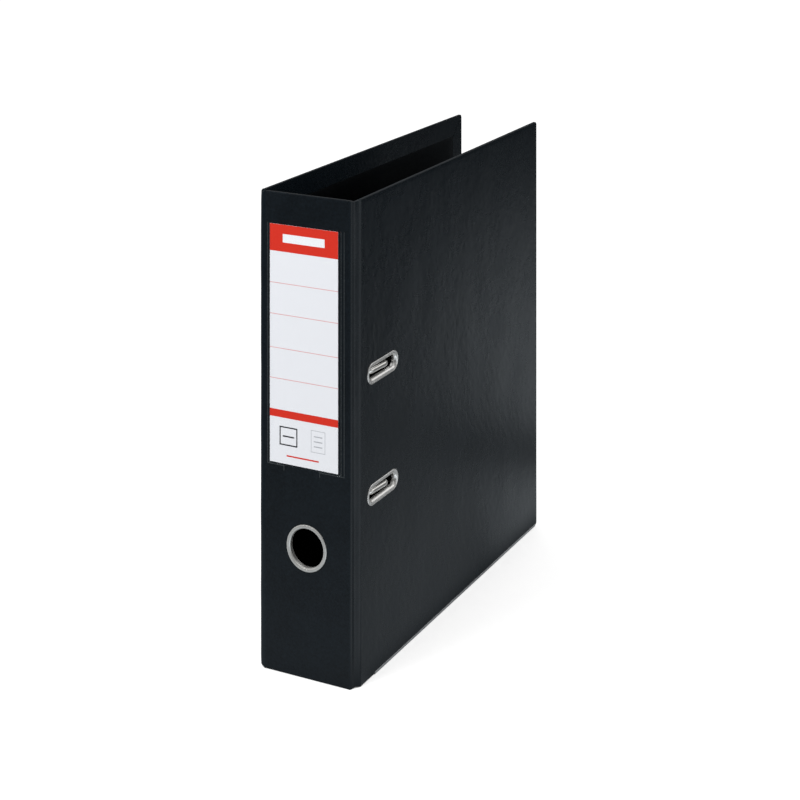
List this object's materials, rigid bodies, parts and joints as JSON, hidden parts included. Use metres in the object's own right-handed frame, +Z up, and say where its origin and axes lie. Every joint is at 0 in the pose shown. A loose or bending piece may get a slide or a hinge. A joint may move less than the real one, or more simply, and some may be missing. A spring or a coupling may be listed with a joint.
{
  "type": "lever arch file",
  "caption": "Tall A4 lever arch file with foil covered boards, a hinged spine with label pocket and finger ring, rimmed cover slots, and a lever worked arch that holds punched sheets.",
  "frame": {"origin": "bottom centre of the bounding box, on the standing face", "axes": "+Z up the height, +X across the spine from the back cover to the front cover, +Y from the spine to the fore edge"},
  "size_m": [0.076, 0.2858, 0.318],
  "materials": {
    "greyboard": "matt",
    "cover_foil": "fine grain, satin",
    "lining_foil": "fine grain, matt",
    "nickel_rim": "bright nickel plate",
    "edge_metal": "nickel plate, worn",
    "pressed_steel": "nickel plated steel sheet",
    "nickel_wire": "bright nickel plate",
    "fastener_steel": "zinc plated",
    "roller_plastic": "natural moulded",
    "clear_film": "clear soft film",
    "label_paper": "white paper with red bands"
  },
  "bodies": {
    "back_cover": {"back_cover_board": "greyboard", "back_cover_foil": "cover_foil", "back_cover_lining": "lining_foil", "back_edge_shoe": "edge_metal", "base_plate": "pressed_steel", "base_plate_rivets": "fastener_steel", "upper_post": "nickel_wire", "lower_post": "nickel_wire", "lever_pivot_pin": "fastener_steel"},
    "spine": {"spine_board": "greyboard", "spine_foil": "cover_foil", "spine_lining": "lining_foil", "finger_ring": "nickel_rim", "finger_ring_washer": "nickel_rim", "label_pocket": "clear_film", "back_hinge_strip": "cover_foil", "front_hinge_strip": "cover_foil"},
    "front_cover": {"front_cover_board": "greyboard", "front_cover_foil": "cover_foil", "front_cover_lining": "lining_foil", "upper_slot_rim": "nickel_rim", "lower_slot_rim": "nickel_rim", "upper_slot_washer": "nickel_rim", "lower_slot_washer": "nickel_rim", "front_edge_shoe": "edge_metal"},
    "label": {"spine_label": "label_paper"},
    "arch": {"arch_wire": "nickel_wire"},
    "lever": {"lever": "pressed_steel", "roller_pin": "fastener_steel"},
    "roller": {"lever_roller": "roller_plastic"}
  },
  "joints": [
    {"name": "spine_hinge", "type": "hinge", "parent": "back_cover", "child": "spine", "pos_m": [-0.03473, -0.13945, 0.16], "axis": [0, 0, -1], "range_deg": [0, 90], "deforming": ["back_hinge_strip"]},
    {"name": "front_hinge", "type": "hinge", "parent": "spine", "child": "front_cover", "pos_m": [0.03487, -0.13885, 0.16], "axis": [0, 0, -1], "range_deg": [0, 180], "deforming": ["front_hinge_strip"]},
    {"name": "label_slide", "type": "slide", "parent": "spine", "child": "label", "axis": [0, 0, 1], "range_m": [0, 0.165]},
    {"name": "lever_hinge", "type": "hinge", "parent": "back_cover", "child": "lever", "pos_m": [-0.02533, -0.10005, 0.16], "axis": [0, 0, 1], "range_deg": [0, 81]},
    {"name": "arch_hinge", "type": "hinge", "parent": "back_cover", "child": "arch", "pos_m": [-0.03113, -0.12105, 0.16], "axis": [0, 0, -1], "range_deg": [0, 45]},
    {"name": "roller_spin", "type": "hinge", "parent": "lever", "child": "roller", "pos_m": [-0.02568, -0.10905, 0.16], "axis": [0, 0, 1], "continuous": true}
  ],
  "couplings": [
    {"joint": "lever_hinge", "follows": "spine_hinge", "ratio": 0.9},
    {"joint": "arch_hinge", "follows": "spine_hinge", "ratio": 0.5}
  ]
}
